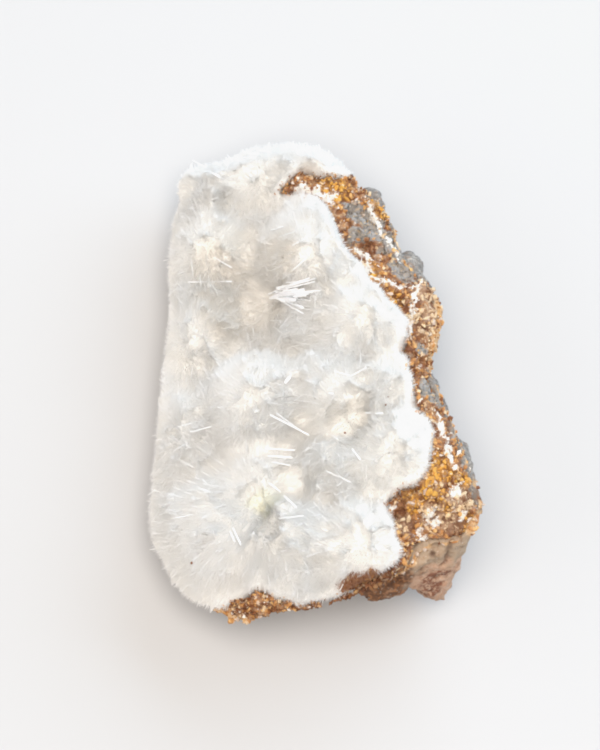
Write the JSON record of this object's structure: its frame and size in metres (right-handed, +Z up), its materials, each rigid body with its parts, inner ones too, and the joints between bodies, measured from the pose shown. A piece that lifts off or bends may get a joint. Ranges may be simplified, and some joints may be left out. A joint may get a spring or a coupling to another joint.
{
  "type": "mineral specimen",
  "caption": "Hand specimen of mesolite: a mass of white radiating needle sprays on a rusty crust over a broken lump of vesicular basalt, with a flat spot under it to rest on.",
  "frame": {"origin": "under the middle of the specimen's plan, on the table", "axes": "+Z up from the table, +Y along the specimen towards its narrow end, +X towards the crusted, higher side"},
  "size_m": [0.0591, 0.0918, 0.035],
  "materials": {
    "basalt": "rough broken stone",
    "crust": "granular, iron-stained",
    "crystals": "silky white needles"
  },
  "bodies": {
    "root": {"basalt_matrix": "basalt", "iron_stained_crust": "crust", "mesolite_crystals": "crystals"}
  },
  "joints": []
}
